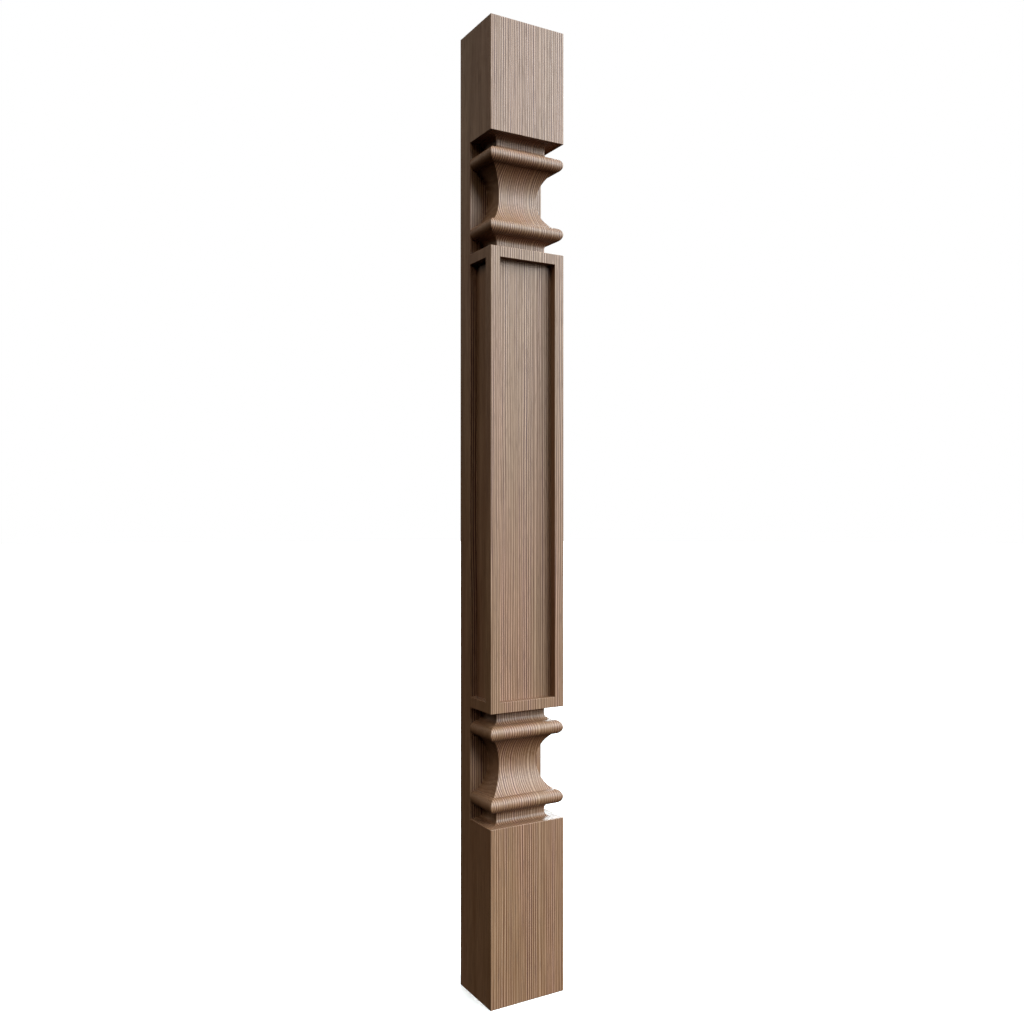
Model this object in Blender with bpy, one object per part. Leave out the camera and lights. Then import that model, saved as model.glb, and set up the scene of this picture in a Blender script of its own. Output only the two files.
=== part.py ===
"""A timber pilaster cut from one blank: plain blocks, moulded necks and a panelled shaft.

Metres, +Z up. The origin is the centre of the underside, the front faces -Y and the
flat back faces +Y. The mouldings run round the front and both sides with mitred
corners and stop against a flat back strip of the full width.
"""

import math

import bmesh
import bpy

# Blank
POST_WIDTH = 0.0762
BODY_DEPTH = 0.03915
BACK_STRIP_THICKNESS = 0.01905

# Heights of the plain parts
BOTTOM_BLOCK_HEIGHT = 0.15875
SHAFT_HEIGHT = 0.41275
TOP_BLOCK_HEIGHT = 0.1016

# Neck moulding, from the waist out to the block: scotia, shoulder, bead, shoulder,
# cove, fillet and a second cove that meets the block
SCOTIA_HEIGHT = 0.0504
SCOTIA_DEPTH = 0.0113
SHOULDER_WIDTH = 0.0005
BEAD_RADIUS = 0.00655
BEAD_SETBACK = 0.0001
COVE_RADIUS = 0.0056
FILLET_HEIGHT = 0.0024
BLOCK_COVE_RADIUS = 0.0045

# Sunk panels on the front and both sides of the shaft. The web is the timber left
# between the floor of one panel and the wall of the next at each front corner.
PANEL_DEPTH = 0.0072
CORNER_WEB = 0.0023

# Facets along each curve of the moulding
SCOTIA_HALF_STEPS = 16
BEAD_STEPS = 20
COVE_STEPS = 8
BLOCK_COVE_STEPS = 6

# How far a cutter stands out past the face that it cuts
CUTTER_MARGIN = 0.004

# Dark stained timber, base colour in linear light
TIMBER_COLOUR = (0.235, 0.165, 0.115, 1.0)
TIMBER_ROUGHNESS = 0.42

# Sizes that follow from the ones above
POST_DEPTH = BODY_DEPTH + BACK_STRIP_THICKNESS
FRONT_Y = -POST_DEPTH / 2
BACK_Y = POST_DEPTH / 2
STRIP_FRONT_Y = BACK_Y - BACK_STRIP_THICKNESS
RIGHT_X = POST_WIDTH / 2
BEAD_INSET = BEAD_SETBACK + BEAD_RADIUS
SHOULDER_INSET = BEAD_INSET + SHOULDER_WIDTH
FILLET_INSET = SHOULDER_INSET + COVE_RADIUS
WAIST_INSET = SHOULDER_INSET + SCOTIA_DEPTH
HALF_NECK = (SCOTIA_HEIGHT / 2 + 2 * BEAD_RADIUS + COVE_RADIUS
             + FILLET_HEIGHT + BLOCK_COVE_RADIUS)
PANEL_BORDER = PANEL_DEPTH + CORNER_WEB
SHAFT_BOTTOM_Z = BOTTOM_BLOCK_HEIGHT + 2 * HALF_NECK
SHAFT_TOP_Z = SHAFT_BOTTOM_Z + SHAFT_HEIGHT
TOP_BLOCK_Z = SHAFT_TOP_Z + 2 * HALF_NECK
POST_HEIGHT = TOP_BLOCK_Z + TOP_BLOCK_HEIGHT


def clear_scene():
    for scene_object in list(bpy.data.objects):
        bpy.data.objects.remove(scene_object, do_unlink=True)


def link_mesh(name, bm):
    """Turn a bmesh into a linked object whose faces point outwards."""
    bmesh.ops.recalc_face_normals(bm, faces=bm.faces)
    mesh = bpy.data.meshes.new(name)
    bm.to_mesh(mesh)
    bm.free()
    new_object = bpy.data.objects.new(name, mesh)
    bpy.context.scene.collection.objects.link(new_object)
    return new_object


def box(name, low, high):
    """A box between two opposite corners."""
    bm = bmesh.new()
    bmesh.ops.create_cube(bm, size=1.0)
    size = [top - bottom for bottom, top in zip(low, high)]
    middle = [(top + bottom) / 2 for bottom, top in zip(low, high)]
    bmesh.ops.scale(bm, vec=size, verts=bm.verts)
    bmesh.ops.translate(bm, vec=middle, verts=bm.verts)
    return link_mesh(name, bm)


def arc(centre, radius, start, end, steps):
    """Points (height, inset) on an arc; angle 0 points into the wood, 90 up."""
    points = []
    for step in range(steps + 1):
        angle = start + (end - start) * step / steps
        height = centre[0] + radius * math.sin(angle)
        inset = centre[1] + radius * math.cos(angle)
        points.append((height, inset))
    return points


def half_neck_profile():
    """Points (height above the waist, inset from the faces), from waist to block."""
    bead_start = SCOTIA_HEIGHT / 2
    sweep = 2 * math.atan2(SCOTIA_DEPTH, bead_start)
    scotia_radius = bead_start / math.sin(sweep)
    scotia = arc((0.0, WAIST_INSET - scotia_radius), scotia_radius,
                 0.0, sweep, SCOTIA_HALF_STEPS)

    bead_centre = (bead_start + BEAD_RADIUS, BEAD_INSET)
    bead = arc(bead_centre, BEAD_RADIUS, math.radians(270), math.radians(90), BEAD_STEPS)

    cove_centre = (bead_start + 2 * BEAD_RADIUS + COVE_RADIUS, SHOULDER_INSET)
    cove = arc(cove_centre, COVE_RADIUS, math.radians(-90), 0.0, COVE_STEPS)

    block_cove_centre = (HALF_NECK - BLOCK_COVE_RADIUS, FILLET_INSET - BLOCK_COVE_RADIUS)
    block_cove = arc(block_cove_centre, BLOCK_COVE_RADIUS,
                     0.0, math.radians(90), BLOCK_COVE_STEPS)
    return scotia + bead + cove + block_cove


def neck_cutter_mesh():
    """What is cut away round one neck, centred on the waist's height.

    The section is the moulding closed by a line outside the blank. It is swept along
    the left side, the front and the right side, and each corner is mitred.
    """
    upper = half_neck_profile()
    lower = [(-height, inset) for height, inset in reversed(upper[1:])]
    section = [(-HALF_NECK, -CUTTER_MARGIN)] + lower + upper
    section.append((HALF_NECK, -CUTTER_MARGIN))

    bm = bmesh.new()
    rings = []
    for side, y_at_corner in ((-1, False), (-1, True), (1, True), (1, False)):
        ring = []
        for height, inset in section:
            x = side * (RIGHT_X - inset)
            y = FRONT_Y + inset if y_at_corner else STRIP_FRONT_Y
            ring.append(bm.verts.new((x, y, height)))
        rings.append(ring)
    for ring, next_ring in zip(rings, rings[1:]):
        for index in range(len(section)):
            following = (index + 1) % len(section)
            bm.faces.new((ring[index], next_ring[index],
                          next_ring[following], ring[following]))
    bm.faces.new(rings[0])
    bm.faces.new(rings[-1])
    neck = link_mesh("neck_cutter_lower", bm)
    neck.data.shade_smooth()
    neck.data.set_sharp_from_angle(angle=math.radians(30))
    return neck


def panel_cutters():
    """Boxes that sink the front panel and the two side panels of the shaft."""
    low_z = SHAFT_BOTTOM_Z + PANEL_BORDER
    high_z = SHAFT_TOP_Z - PANEL_BORDER
    panel_half_width = RIGHT_X - PANEL_BORDER
    front = box("panel_cutter_front",
                (-panel_half_width, FRONT_Y - CUTTER_MARGIN, low_z),
                (panel_half_width, FRONT_Y + PANEL_DEPTH, high_z))
    left = box("panel_cutter_left",
               (-RIGHT_X - CUTTER_MARGIN, FRONT_Y + PANEL_BORDER, low_z),
               (-RIGHT_X + PANEL_DEPTH, STRIP_FRONT_Y, high_z))
    right = box("panel_cutter_right",
                (RIGHT_X - PANEL_DEPTH, FRONT_Y + PANEL_BORDER, low_z),
                (RIGHT_X + CUTTER_MARGIN, STRIP_FRONT_Y, high_z))
    return [front, left, right]


def neck_cutters():
    """One cutter for each neck, placed at its waist; both share a mesh."""
    lower = neck_cutter_mesh()
    upper = bpy.data.objects.new("neck_cutter_upper", lower.data)
    bpy.context.scene.collection.objects.link(upper)
    lower.location.z = SHAFT_BOTTOM_Z - HALF_NECK
    upper.location.z = TOP_BLOCK_Z - HALF_NECK
    return [lower, upper]


def cut(body, cutter):
    """Take the cutter's shape out of the body."""
    cutter.hide_render = True
    cutter.display_type = "WIRE"
    modifier = body.modifiers.new(cutter.name, "BOOLEAN")
    modifier.operation = "DIFFERENCE"
    modifier.solver = "EXACT"
    modifier.object = cutter


def timber_material():
    material = bpy.data.materials.new("stained_timber")
    material.use_nodes = True
    shader = material.node_tree.nodes["Principled BSDF"]
    shader.inputs["Base Color"].default_value = TIMBER_COLOUR
    shader.inputs["Roughness"].default_value = TIMBER_ROUGHNESS
    shader.inputs["Metallic"].default_value = 0.0
    material.diffuse_color = TIMBER_COLOUR
    return material


def build_pilaster():
    pilaster = box("pilaster", (-RIGHT_X, FRONT_Y, 0.0), (RIGHT_X, BACK_Y, POST_HEIGHT))
    pilaster.data.materials.append(timber_material())
    for cutter in neck_cutters() + panel_cutters():
        cut(pilaster, cutter)


clear_scene()
build_pilaster()
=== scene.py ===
import math

import bmesh
import bpy
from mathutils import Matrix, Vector


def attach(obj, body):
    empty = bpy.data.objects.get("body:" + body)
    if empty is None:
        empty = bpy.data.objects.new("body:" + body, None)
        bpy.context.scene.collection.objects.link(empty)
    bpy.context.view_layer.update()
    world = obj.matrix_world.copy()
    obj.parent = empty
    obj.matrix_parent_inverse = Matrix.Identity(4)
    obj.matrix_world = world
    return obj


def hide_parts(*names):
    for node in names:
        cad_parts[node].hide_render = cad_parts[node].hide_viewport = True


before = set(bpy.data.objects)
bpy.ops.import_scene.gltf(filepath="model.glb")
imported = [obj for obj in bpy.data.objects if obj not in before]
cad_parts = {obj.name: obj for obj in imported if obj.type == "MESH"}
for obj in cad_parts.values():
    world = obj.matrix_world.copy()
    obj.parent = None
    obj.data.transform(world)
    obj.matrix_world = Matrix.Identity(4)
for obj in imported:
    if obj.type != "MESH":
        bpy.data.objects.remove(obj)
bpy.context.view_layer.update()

# Sizes of the post, the same as the solid model's, in metres
POST_WIDTH = 0.0762
POST_DEPTH = 0.0582
POST_HEIGHT = 0.8763
BACK_STRIP_THICKNESS = 0.01905
SHAFT_BOTTOM_Z = 0.26035
SHAFT_TOP_Z = 0.6731
TOP_BLOCK_Z = 0.7747
SCOTIA_HEIGHT = 0.0504
SCOTIA_DEPTH = 0.0113
SHOULDER_WIDTH = 0.0005
BEAD_RADIUS = 0.00655
BEAD_SETBACK = 0.0001
COVE_RADIUS = 0.0056
FILLET_HEIGHT = 0.0024
BLOCK_COVE_RADIUS = 0.0045
PANEL_DEPTH = 0.0072
PANEL_BORDER = 0.0095

# The sanded arris on every outer edge
ARRIS = 0.0004
ARRIS_STEPS = 4

# Facets along each curve of the moulding
SCOTIA_HALF_STEPS = 40
BEAD_STEPS = 44
COVE_STEPS = 16
BLOCK_COVE_STEPS = 12

# Points closer than this are one, and edges sharper than this stay crisp
MERGE_DISTANCE = 1e-6
CRISP_DEGREES = 35

# Sizes that follow from the ones above
HALF_WIDTH = POST_WIDTH / 2
FRONT_Y = -POST_DEPTH / 2
BACK_Y = POST_DEPTH / 2
STRIP_FRONT_Y = BACK_Y - BACK_STRIP_THICKNESS
BEAD_INSET = BEAD_SETBACK + BEAD_RADIUS
SHOULDER_INSET = BEAD_INSET + SHOULDER_WIDTH
FILLET_INSET = SHOULDER_INSET + COVE_RADIUS
WAIST_INSET = SHOULDER_INSET + SCOTIA_DEPTH
HALF_NECK = (SCOTIA_HEIGHT / 2 + 2 * BEAD_RADIUS + COVE_RADIUS
             + FILLET_HEIGHT + BLOCK_COVE_RADIUS)
LOWER_WAIST_Z = SHAFT_BOTTOM_Z - HALF_NECK
UPPER_WAIST_Z = TOP_BLOCK_Z - HALF_NECK


# ---------------------------------------------------------------- the post's shape

def arc(centre, radius, start, end, steps):
    """Points (height, inset) on an arc; angle 0 points into the wood, 90 up."""
    points = []
    for step in range(steps + 1):
        angle = start + (end - start) * step / steps
        points.append((centre[0] + radius * math.sin(angle),
                       centre[1] + radius * math.cos(angle)))
    return points


def half_neck_profile():
    """Points (height above the waist, inset from the faces), from waist to block."""
    bead_start = SCOTIA_HEIGHT / 2
    sweep = 2 * math.atan2(SCOTIA_DEPTH, bead_start)
    radius = bead_start / math.sin(sweep)
    scotia = arc((0.0, WAIST_INSET - radius), radius, 0.0, sweep, SCOTIA_HALF_STEPS)
    bead = arc((bead_start + BEAD_RADIUS, BEAD_INSET), BEAD_RADIUS,
               math.radians(270), math.radians(90), BEAD_STEPS)
    cove = arc((bead_start + 2 * BEAD_RADIUS + COVE_RADIUS, SHOULDER_INSET),
               COVE_RADIUS, math.radians(-90), 0.0, COVE_STEPS)
    block_cove = arc((HALF_NECK - BLOCK_COVE_RADIUS, FILLET_INSET - BLOCK_COVE_RADIUS),
                     BLOCK_COVE_RADIUS, 0.0, math.radians(90), BLOCK_COVE_STEPS)
    return scotia + bead + cove + block_cove


def quarter_turn():
    """The angles along an eased edge, from 0 to 90 degrees."""
    return [math.radians(90) * step / ARRIS_STEPS for step in range(ARRIS_STEPS + 1)]


def arris_offsets():
    """(along, into) pairs of a quarter round, from the face to the wall."""
    return [(ARRIS * (1 - math.sin(angle)), ARRIS * (1 - math.cos(angle)))
            for angle in quarter_turn()]


def rim(depth):
    """The eased rim of a recess: (outwards from the wall, depth), cut off at depth."""
    points = []
    for outwards, into in arris_offsets():
        if into >= depth:
            into = depth
            outwards = ARRIS - math.sqrt(max(0.0, ARRIS ** 2 - (ARRIS - into) ** 2))
        points.append((outwards, into))
    return points


def wear_at(into, recess):
    """1 in the middle of an eased edge, 0 at its ends and where there is no edge."""
    if recess < ARRIS:
        return 0.0
    angle = math.acos(max(-1.0, min(1.0, 1 - into / ARRIS)))
    return math.sin(2 * angle)


def half_outline(inset, panel, end_inset):
    """The right half of one level's outline, from the front's middle to the back's.

    inset is the moulding's depth at this level, panel how far the panels are sunk
    and end_inset the easing at the two ends. Each point is (x, y, wear), where wear
    is how much it belongs to an eased edge.
    """
    right = HALF_WIDTH - inset - end_inset
    front = FRONT_Y + inset + end_inset
    back = BACK_Y - end_inset
    strip_side = HALF_WIDTH - end_inset
    across = right / HALF_WIDTH
    along = (STRIP_FRONT_Y - front) / (STRIP_FRONT_Y - FRONT_Y)
    panel_half = HALF_WIDTH - PANEL_BORDER
    stile_y = FRONT_Y + PANEL_BORDER
    points = []

    def side_y(y):
        return STRIP_FRONT_Y - (STRIP_FRONT_Y - y) * along

    # Front panel, floor and rim
    for share in (0.0, 0.5, 1.0):
        points.append((panel_half * share * across, front + panel, 0.0))
    for outwards, into in reversed(rim(panel)):
        points.append(((panel_half + outwards) * across, front + into,
                       wear_at(into, panel)))

    # Front corner
    for angle in quarter_turn():
        points.append((right - ARRIS + ARRIS * math.sin(angle),
                       front + ARRIS - ARRIS * math.cos(angle),
                       math.sin(2 * angle)))

    # Side panel: rim next to the stile, floor, then the strip's front edge
    for outwards, into in rim(panel):
        points.append((right - into, side_y(stile_y - outwards),
                       wear_at(into, panel)))
    points.append((right - panel, side_y(stile_y), 0.0))
    points.append((right - panel, side_y((stile_y + STRIP_FRONT_Y) / 2), 0.0))
    points.append((right - panel, STRIP_FRONT_Y, 0.0))
    recess = inset + panel
    for outwards, into in reversed(rim(recess)):
        points.append((strip_side - into, STRIP_FRONT_Y + outwards,
                       wear_at(into, recess)))

    # Back corner
    for angle in quarter_turn():
        points.append((strip_side - ARRIS + ARRIS * math.cos(angle),
                       back - ARRIS + ARRIS * math.sin(angle),
                       math.sin(2 * angle)))
    points.append((0.0, back, 0.0))
    return points


def neck_levels(waist_z):
    """The levels of one neck, with the eased edges of the blocks that it meets."""
    half = [(height, inset, 0.0) for height, inset in half_neck_profile()]
    for angle in quarter_turn():
        half.append((HALF_NECK + ARRIS * (1 - math.cos(angle)),
                     ARRIS * (1 - math.sin(angle)), math.sin(2 * angle)))
    lower_half = [(-height, inset, wear) for height, inset, wear in reversed(half[1:])]
    return [(waist_z + height, inset, 0.0, 0.0, 0.0, wear)
            for height, inset, wear in lower_half + half]


def panel_levels():
    """The levels of the shaft's panels, with the eased rims of their rails."""
    low = SHAFT_BOTTOM_Z + PANEL_BORDER
    high = SHAFT_TOP_Z - PANEL_BORDER
    rows = []
    for outwards, into in arris_offsets():
        rows.append((low - outwards, 0.0, into, 0.0, 0.0, 0.0))
    for height in (low, (low + high) / 2, high):
        rows.append((height, 0.0, PANEL_DEPTH, 0.0, 0.0, 0.0))
    for outwards, into in reversed(arris_offsets()):
        rows.append((high + outwards, 0.0, into, 0.0, 0.0, 0.0))
    return rows


def levels():
    """(height, inset, panel, end inset, end wear, block wear) from the underside up.

    End wear is for the whole outline and block wear for its moulded part alone.
    """
    underside = [(ARRIS * (1 - math.cos(angle)), 0.0, 0.0,
                  ARRIS * (1 - math.sin(angle)), math.sin(2 * angle), 0.0)
                 for angle in quarter_turn()]
    top = [(POST_HEIGHT - ARRIS * (1 - math.sin(angle)), 0.0, 0.0,
            ARRIS * (1 - math.cos(angle)), math.sin(2 * angle), 0.0)
           for angle in quarter_turn()]
    return (underside + neck_levels(LOWER_WAIST_Z) + panel_levels()
            + neck_levels(UPPER_WAIST_Z) + top)


def build_post():
    """The post as one closed mesh, lofted through its levels."""
    bm = bmesh.new()
    wear_layer = bm.verts.layers.float.new("arris")
    rings = []
    for height, inset, panel, end_inset, end_wear, block_wear in levels():
        half = half_outline(inset, panel, end_inset)
        outline = half + [(-x, y, wear) for x, y, wear in reversed(half[1:-1])]
        ring = []
        for x, y, wear in outline:
            vert = bm.verts.new((x, y, height))
            if y < STRIP_FRONT_Y:
                wear = max(wear, block_wear)
            vert[wear_layer] = max(wear, end_wear)
            ring.append(vert)
        rings.append(ring)
    count = len(rings[0])
    for ring, next_ring in zip(rings, rings[1:]):
        for index in range(count):
            following = (index + 1) % count
            bm.faces.new((ring[index], ring[following],
                          next_ring[following], next_ring[index]))
    bm.faces.new(list(reversed(rings[0])))
    bm.faces.new(rings[-1])
    bmesh.ops.remove_doubles(bm, verts=bm.verts, dist=MERGE_DISTANCE)
    bmesh.ops.dissolve_degenerate(bm, edges=bm.edges, dist=MERGE_DISTANCE)
    bmesh.ops.recalc_face_normals(bm, faces=bm.faces)
    mesh = bpy.data.meshes.new("pilaster_timber")
    bm.to_mesh(mesh)
    bm.free()
    mesh.shade_smooth()
    mesh.set_sharp_from_angle(angle=math.radians(CRISP_DEGREES))
    post = bpy.data.objects.new("pilaster_timber", mesh)
    bpy.context.scene.collection.objects.link(post)
    normals = post.modifiers.new("normals", "WEIGHTED_NORMAL")
    normals.keep_sharp = True
    return post


# ---------------------------------------------------------------- the stained timber

# How far the growth layers lean: they run this much sideways for each metre forwards
LAYER_LEAN = 0.10

# How far the layers wander from side to side, in metres
WANDER = 0.004
FINE_WANDER = 0.0013

# Noise scales: changes per metre across the layers, into the wood and along the grain
WANDER_SCALE = (20.0, 40.0, 3.5)
FINE_WANDER_SCALE = (60.0, 90.0, 12.0)
LINE_DRIFT_SCALE = (150.0, 16.0, 2.5)
LINE_STRENGTH_SCALE = (210.0, 20.0, 4.0)
FIBRE_SCALE = (1900.0, 1500.0, 24.0)
BROAD_SCALE = (120.0, 12.0, 3.0)
PORE_SCALE = (2400.0, 2100.0, 70.0)
TONE_SCALE = (55.0, 20.0, 5.0)
DEPTH_SCALE = (26.0, 26.0, 9.0)
RUB_SCALE = (150.0, 150.0, 45.0)

# Growth lines: how many there are in a metre, their strength and their noise's offset
GROWTH_LINES = (
    (335.0, 0.14, 7.7),
    (420.0, 0.44, 17.1),
    (515.0, 0.24, 31.3),
)
# How far a line strays, in spacings; the power that narrows it; the mean of its wave,
# taken off so that the tone stays; and what is left of it where it is weakest
LINE_DRIFT = 1.3
LINE_SHARPNESS = 1.5
LINE_MEAN = 0.42
WEAKEST_LINE = 0.35

# How much of the figure the two sides show
SIDE_FIGURE = 0.18

# One pale layer stands out from end to end, right of the middle of the front, with a
# dark line on each side. Each is given by the distances from its middle between which
# it fades, in metres, and its strength. Nearby, the other lines give way to it.
STRIPE_X = 0.0126
PALE_LINE = (0.0002, 0.0011, 0.20)
DARK_LINE = (0.0002, 0.0009, 0.10)
DARK_LINE_AT = 0.0018
OTHERS_RETURN = (0.0018, 0.0030)
OTHERS_LEFT = 0.15

# How much the fibres and the broad bands add to the figure
FIBRE_STRENGTH = 0.25
BROAD_STRENGTH = 0.05

# Base colours in linear light, from the open early wood, which takes the most stain,
# to the dense late wood, which takes the least
WOOD_TONES = (
    (0.20, (0.044, 0.001, 0.0005)),
    (0.36, (0.103, 0.037, 0.009)),
    (0.50, (0.168, 0.081, 0.038)),
    (0.64, (0.233, 0.126, 0.071)),
    (0.80, (0.307, 0.175, 0.110)),
)
OLIVE_TINT = (0.98, 1.01, 0.98)
ROSY_TINT = (1.02, 0.99, 1.02)
THINNEST_STAIN = 1.04
THICKEST_STAIN = 0.98
PORE_COLOUR = (0.060, 0.025, 0.011, 1.0)
PORE_STRENGTH = 0.38
END_GRAIN_COLOUR = (0.085, 0.038, 0.019, 1.0)
END_GRAIN_STRENGTH = 0.30
# Painted shade: the darker, warmer colour that faces looking down are multiplied by
UNDERSIDE_PAINTED_SHADE = (0.84, 0.68, 0.54, 1.0)
RUBBED_COLOUR = (0.34, 0.20, 0.125, 1.0)
LEAST_RUB = 0.10
MOST_RUB = 0.55

# The finish
EARLY_WOOD_ROUGHNESS = 0.575
LATE_WOOD_ROUGHNESS = 0.475
PORE_ROUGHNESS = 0.12
RUB_ROUGHNESS = -0.08
FINISH_IOR = 1.5

# Relief of the growth lines in metres, and the fibres' and the pores' share of it
RELIEF = 0.00012
FIBRE_RELIEF = 0.03
PORE_RELIEF = -0.02


class Graph:
    """Short calls for building one material's nodes."""

    def __init__(self, name):
        self.material = bpy.data.materials.new(name)
        self.material.use_nodes = True
        self.tree = self.material.node_tree
        self.shader = self.tree.nodes["Principled BSDF"]

    def node(self, kind, **settings):
        made = self.tree.nodes.new(kind)
        for key, value in settings.items():
            setattr(made, key, value)
        return made

    def feed(self, socket, value):
        """Link a socket to another one's output, or give it a plain value."""
        if hasattr(value, "is_linked"):
            self.tree.links.new(value, socket)
        else:
            socket.default_value = value

    def math(self, operation, first, second=0.0, third=0.0):
        made = self.node("ShaderNodeMath", operation=operation)
        for socket, value in zip(made.inputs, (first, second, third)):
            self.feed(socket, value)
        return made.outputs[0]

    def scaled(self, vector, factors):
        made = self.node("ShaderNodeVectorMath", operation="MULTIPLY")
        self.feed(made.inputs[0], vector)
        made.inputs[1].default_value = factors
        return made.outputs[0]

    def combine(self, x, y, z):
        made = self.node("ShaderNodeCombineXYZ")
        for socket, value in zip(made.inputs, (x, y, z)):
            self.feed(socket, value)
        return made.outputs[0]

    def split(self, vector):
        made = self.node("ShaderNodeSeparateXYZ")
        self.feed(made.inputs[0], vector)
        return made.outputs

    def noise(self, vector, detail=0.0, offset=0.0):
        """Smooth noise, mostly 0.35 to 0.65; offset picks another part of it."""
        if offset:
            shift = self.node("ShaderNodeVectorMath", operation="ADD")
            self.feed(shift.inputs[0], vector)
            shift.inputs[1].default_value = (offset, offset * 0.7, offset * 1.3)
            vector = shift.outputs[0]
        made = self.node("ShaderNodeTexNoise", noise_dimensions="3D")
        self.feed(made.inputs["Vector"], vector)
        made.inputs["Scale"].default_value = 1.0
        made.inputs["Detail"].default_value = detail
        made.inputs["Roughness"].default_value = 0.5
        return made.outputs[0]

    def remap(self, value, from_low, from_high, to_low, to_high, smooth=False):
        made = self.node("ShaderNodeMapRange")
        if smooth:
            made.interpolation_type = "SMOOTHSTEP"
        self.feed(made.inputs["Value"], value)
        made.inputs["From Min"].default_value = from_low
        made.inputs["From Max"].default_value = from_high
        made.inputs["To Min"].default_value = to_low
        made.inputs["To Max"].default_value = to_high
        return made.outputs["Result"]

    def ramp(self, value, stops):
        made = self.node("ShaderNodeValToRGB")
        elements = made.color_ramp.elements
        while len(elements) < len(stops):
            elements.new(0.5)
        for element, (position, colour) in zip(elements, stops):
            element.position = position
            element.color = (*colour, 1.0)
        self.feed(made.inputs[0], value)
        return made.outputs[0]

    def mix(self, factor, first, second, blend="MIX"):
        made = self.node("ShaderNodeMix", data_type="RGBA", blend_type=blend)
        self.feed(made.inputs[0], factor)
        self.feed(made.inputs[6], first)
        self.feed(made.inputs[7], second)
        return made.outputs[2]


def grain_frame(g, place):
    """The distance across the growth layers, and the point in the grain's own frame.

    The layers wander gently along the grain.
    """
    x, y, z = g.split(place)
    layer = g.math("ADD", x, g.math("MULTIPLY", y, LAYER_LEAN))
    within = g.math("SUBTRACT", y, g.math("MULTIPLY", x, LAYER_LEAN))
    wander = g.math("SUBTRACT", g.noise(g.scaled(place, WANDER_SCALE), detail=1.0), 0.5)
    fine_wander = g.noise(g.scaled(place, FINE_WANDER_SCALE), offset=3.7)
    fine_wander = g.math("SUBTRACT", fine_wander, 0.5)
    layer = g.math("ADD", layer, g.math("MULTIPLY", wander, WANDER))
    layer = g.math("ADD", layer, g.math("MULTIPLY", fine_wander, FINE_WANDER))
    return layer, g.combine(layer, within, z)


def figure_strength(g, normal):
    """How strongly a face shows the figure: fully on the front, faintly on the sides.

    The layers run nearly flat to the sides. A face is judged by the way that it looks
    seen from above, so that a sloping face counts too.
    """
    level_part = g.math("MULTIPLY", normal[2], normal[2])
    level_part = g.math("SQRT", g.math("SUBTRACT", 1.02, level_part))
    sideways = g.math("DIVIDE", g.math("ABSOLUTE", normal[0]), level_part)
    return g.remap(sideways, 0.0, 1.0, 1.0, SIDE_FIGURE)


def growth_lines(g, grain_place, layer, per_metre, offset):
    """Pale lines along the grain, unevenly spaced and of uneven strength."""
    drift = g.noise(g.scaled(grain_place, LINE_DRIFT_SCALE), offset=offset)
    turns = g.math("MULTIPLY", layer, per_metre)
    turns = g.math("MULTIPLY_ADD", drift, LINE_DRIFT, turns)
    wave = g.math("SINE", g.math("MULTIPLY", turns, 2 * math.pi))
    wave = g.math("POWER", g.math("MULTIPLY_ADD", wave, 0.5, 0.5), LINE_SHARPNESS)
    strength = g.noise(g.scaled(grain_place, LINE_STRENGTH_SCALE), offset=offset + 2.9)
    strength = g.remap(strength, 0.35, 0.65, WEAKEST_LINE, 1.0)
    return g.math("MULTIPLY", g.math("SUBTRACT", wave, LINE_MEAN), strength)


def fading_line(g, distance, near, far, strength):
    return g.remap(distance, near, far, strength, 0.0, smooth=True)


def pale_stripe(g, layer):
    """A pale line with a dark one on each side, and how much the other lines count."""
    across = g.math("SUBTRACT", layer, STRIPE_X + LAYER_LEAN * FRONT_Y)
    across = g.math("ABSOLUTE", across)
    pale = fading_line(g, across, *PALE_LINE)
    beside = g.math("ABSOLUTE", g.math("SUBTRACT", across, DARK_LINE_AT))
    dark = fading_line(g, beside, *DARK_LINE)
    others = g.remap(across, *OTHERS_RETURN, OTHERS_LEFT, 1.0, smooth=True)
    return g.math("SUBTRACT", pale, dark), others


def all_lines(g, layer, grain_place):
    """Early and late wood: lines two to three millimetres apart and the pale stripe."""
    lines = 0.0
    for per_metre, strength, offset in GROWTH_LINES:
        some = growth_lines(g, grain_place, layer, per_metre, offset)
        lines = g.math("MULTIPLY_ADD", some, strength, lines)
    stripe, others = pale_stripe(g, layer)
    return g.math("MULTIPLY_ADD", lines, others, stripe)


def stained(g, colour, place, grain_place):
    """Slow drifts of the stain: rosy in places, olive in others, thinner or thicker."""
    tone = g.noise(g.scaled(grain_place, TONE_SCALE), detail=1.0, offset=41.0)
    tint = g.ramp(tone, ((0.35, OLIVE_TINT), (0.65, ROSY_TINT)))
    colour = g.mix(1.0, colour, tint, "MULTIPLY")
    depth = g.noise(g.scaled(place, DEPTH_SCALE), detail=2.0, offset=57.0)
    depth = g.remap(depth, 0.3, 0.7, THICKEST_STAIN, THINNEST_STAIN)
    return g.mix(1.0, colour, g.combine(depth, depth, depth), "MULTIPLY")


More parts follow.
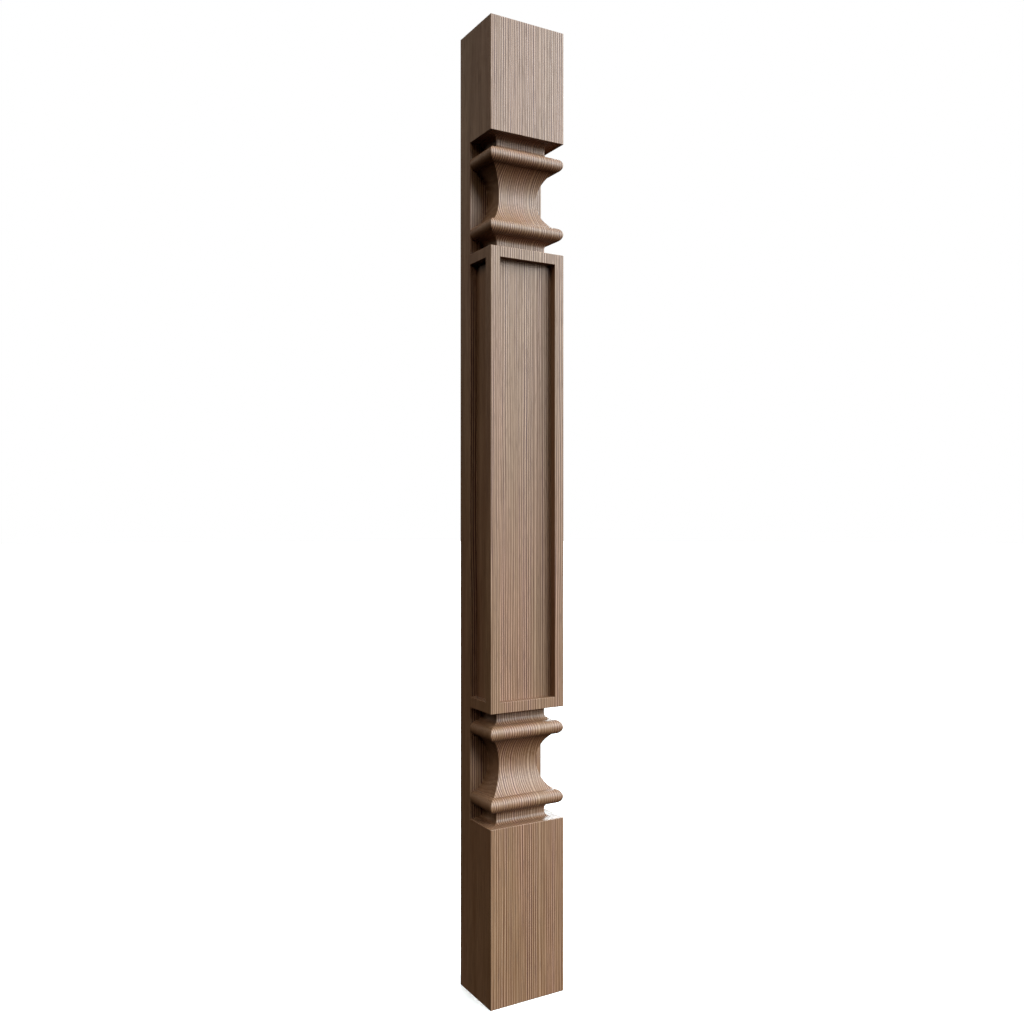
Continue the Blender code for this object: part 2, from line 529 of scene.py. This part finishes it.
def timber_material():
    g = Graph("stained_timber")
    place = g.node("ShaderNodeTexCoord").outputs["Object"]
    normal = g.split(g.node("ShaderNodeNewGeometry").outputs["Normal"])
    layer, grain_place = grain_frame(g, place)

    # The figure: growth lines, fibres between them and broad bands
    lines = g.math("MULTIPLY", all_lines(g, layer, grain_place),
                   figure_strength(g, normal))
    fibres = g.noise(g.scaled(grain_place, FIBRE_SCALE), offset=11.3)
    fibres = g.math("SUBTRACT", fibres, 0.5)
    broad = g.noise(g.scaled(grain_place, BROAD_SCALE), offset=23.9)
    broad = g.math("SUBTRACT", broad, 0.5)
    grain = g.math("ADD", lines, 0.5)
    grain = g.math("MULTIPLY_ADD", fibres, FIBRE_STRENGTH, grain)
    grain = g.math("MULTIPLY_ADD", broad, BROAD_STRENGTH, grain)
    colour = stained(g, g.ramp(grain, WOOD_TONES), place, grain_place)

    # Open pores, drawn out along the grain
    pores = g.noise(g.scaled(grain_place, PORE_SCALE), offset=5.1)
    pores = g.remap(pores, 0.60, 0.72, 0.0, 1.0, smooth=True)
    colour = g.mix(g.math("MULTIPLY", pores, PORE_STRENGTH), colour, PORE_COLOUR)

    # Sawn end grain drinks more stain
    end_grain = g.math("POWER", g.math("ABSOLUTE", normal[2]), 6.0)
    end_grain = g.math("MULTIPLY", end_grain, END_GRAIN_STRENGTH)
    colour = g.mix(end_grain, colour, END_GRAIN_COLOUR)

    # Painted shade: faces that look down are darkened and warmed, standing in for the
    # shade beneath the mouldings and blocks
    underside = g.remap(normal[2], -0.85, -0.15, 1.0, 0.0, smooth=True)
    colour = g.mix(underside, colour, UNDERSIDE_PAINTED_SHADE, "MULTIPLY")

    # Sanded edges, rubbed a little paler
    arris = g.node("ShaderNodeAttribute", attribute_name="arris").outputs["Fac"]
    rub = g.noise(g.scaled(place, RUB_SCALE), detail=2.0, offset=71.0)
    rub = g.math("MULTIPLY", arris, g.remap(rub, 0.38, 0.62, LEAST_RUB, MOST_RUB))
    colour = g.mix(rub, colour, RUBBED_COLOUR)
    g.feed(g.shader.inputs["Base Color"], colour)

    # Sheen: late wood a little glossier than the open early wood
    roughness = g.remap(grain, 0.25, 0.75, EARLY_WOOD_ROUGHNESS, LATE_WOOD_ROUGHNESS)
    roughness = g.math("MULTIPLY_ADD", pores, PORE_ROUGHNESS, roughness)
    roughness = g.math("MULTIPLY_ADD", rub, RUB_ROUGHNESS, roughness)
    g.feed(g.shader.inputs["Roughness"], roughness)
    g.shader.inputs["IOR"].default_value = FINISH_IOR
    g.shader.inputs["Metallic"].default_value = 0.0

    # Raised late wood, fibres and sunken pores
    height = g.math("MULTIPLY_ADD", fibres, FIBRE_RELIEF, lines)
    height = g.math("MULTIPLY_ADD", pores, PORE_RELIEF, height)
    bump = g.node("ShaderNodeBump")
    bump.inputs["Strength"].default_value = 1.0
    bump.inputs["Distance"].default_value = RELIEF
    g.feed(bump.inputs["Height"], height)
    g.feed(g.shader.inputs["Normal"], bump.outputs[0])
    return g.material


# ---------------------------------------------------------------- studio

WHITE = (1.0, 1.0, 1.0, 1.0)

# The floor glows a little, so that it stays as pale as the background
FLOOR_RADIUS = 14.0
FLOOR_SEGMENTS = 96
FLOOR_COLOUR = (0.88, 0.88, 0.88, 1.0)
FLOOR_ROUGHNESS = 0.85
FLOOR_SPECULAR = 0.1
FLOOR_GLOW = 0.35

# Azimuth and elevation in degrees, and strength, of the studio's soft lights. Azimuth
# is measured from straight in front of the post towards its right side. Most of the
# light comes from the right, with less from above and the front, and some skims round
# from behind on the right. The fills are weak and warm: one lies low and reaches into
# the mouldings, one serves the left side and two the back, which has a high light too.
STUDIO = {
    "key_side": (72.0, 22.0, 4.42),
    "key_middle": (48.0, 22.0, 2.20),
    "key_front": (24.0, 22.0, 1.47),
    "key_high": (60.0, 44.0, 0.88),
    "low_fill": (36.0, 0.0, 0.63),
    "front_high": (0.0, 44.0, 0.90),
    "right_top": (30.0, 66.0, 0.98),
    "overhead": (0.0, 90.0, 1.00),
    "rim_low": (144.0, 22.0, 2.85),
    "rim_high": (120.0, 44.0, 0.88),
    "left_fill": (-60.0, 44.0, 0.90),
    "back_left_fill": (-120.0, 22.0, 0.40),
    "back_high": (166.0, 42.0, 0.90),
    "back_fill": (-168.0, 22.0, 0.10),
}
KEY_COLOUR = (0.825, 0.945, 1.0)
FILL_COLOUR = (1.0, 0.96, 0.84)

# How wide each light is, seen from the post, in degrees
SOFTNESS = 26.0

# The camera stands in front of the post on its left, level with its middle. The lens
# and the sensor are in millimetres, the rest is in metres and degrees.
LENS = 35.0
SENSOR_WIDTH = 36.0
CLIP_START = 0.01
CLIP_END = 100.0
CAMERA_PLACE = (-0.46073, -0.79378, 0.43829)
CAMERA_TILT = 90.0
CAMERA_TURN = -30.15


def floor_material():
    g = Graph("pale_floor")
    g.shader.inputs["Base Color"].default_value = FLOOR_COLOUR
    g.shader.inputs["Roughness"].default_value = FLOOR_ROUGHNESS
    g.shader.inputs["Specular IOR Level"].default_value = FLOOR_SPECULAR
    g.shader.inputs["Emission Color"].default_value = WHITE
    g.shader.inputs["Emission Strength"].default_value = FLOOR_GLOW
    return g.material


def build_floor():
    """A wide flat floor that takes light and shadow but throws no light back up."""
    bm = bmesh.new()
    bmesh.ops.create_circle(bm, cap_ends=True, segments=FLOOR_SEGMENTS,
                            radius=FLOOR_RADIUS)
    mesh = bpy.data.meshes.new("floor")
    bm.to_mesh(mesh)
    bm.free()
    floor = bpy.data.objects.new("floor", mesh)
    bpy.context.scene.collection.objects.link(floor)
    floor.data.materials.append(floor_material())
    floor.visible_diffuse = False
    floor.visible_glossy = False
    floor.visible_shadow = False


def build_world():
    """A white background that the camera sees and that lights nothing."""
    world = bpy.data.worlds.new("studio")
    world.use_nodes = True
    background = world.node_tree.nodes["Background"]
    background.inputs["Color"].default_value = WHITE
    background.inputs["Strength"].default_value = 1.0
    world.cycles_visibility.diffuse = False
    world.cycles_visibility.glossy = False
    world.cycles_visibility.transmission = False
    world.cycles_visibility.scatter = False
    bpy.context.scene.world = world


def soft_light(name, azimuth, elevation, strength, colour):
    """A distant light, as wide as a big softbox seen from the post."""
    turn = math.radians(azimuth)
    rise = math.radians(elevation)
    direction = Vector((math.sin(turn) * math.cos(rise),
                        -math.cos(turn) * math.cos(rise),
                        math.sin(rise)))
    data = bpy.data.lights.new(name, "SUN")
    data.angle = math.radians(SOFTNESS)
    data.energy = strength
    data.color = colour
    light = bpy.data.objects.new(name, data)
    light.rotation_euler = (-direction).to_track_quat("-Z", "Y").to_euler()
    bpy.context.scene.collection.objects.link(light)


def build_lights():
    for name, (azimuth, elevation, strength) in STUDIO.items():
        colour = FILL_COLOUR if name.endswith("fill") else KEY_COLOUR
        soft_light(name, azimuth, elevation, strength, colour)


def build_camera():
    data = bpy.data.cameras.new("camera")
    data.lens = LENS
    data.sensor_width = SENSOR_WIDTH
    data.clip_start = CLIP_START
    data.clip_end = CLIP_END
    camera = bpy.data.objects.new("camera", data)
    camera.location = CAMERA_PLACE
    camera.rotation_euler = (math.radians(CAMERA_TILT), 0.0, math.radians(CAMERA_TURN))
    bpy.context.scene.collection.objects.link(camera)
    bpy.context.scene.camera = camera


bpy.context.scene.view_settings.view_transform = "Standard"
build_camera()
build_world()
build_floor()
build_lights()

post = build_post()
post.data.materials.append(timber_material())
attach(post, "root")
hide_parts("pilaster")
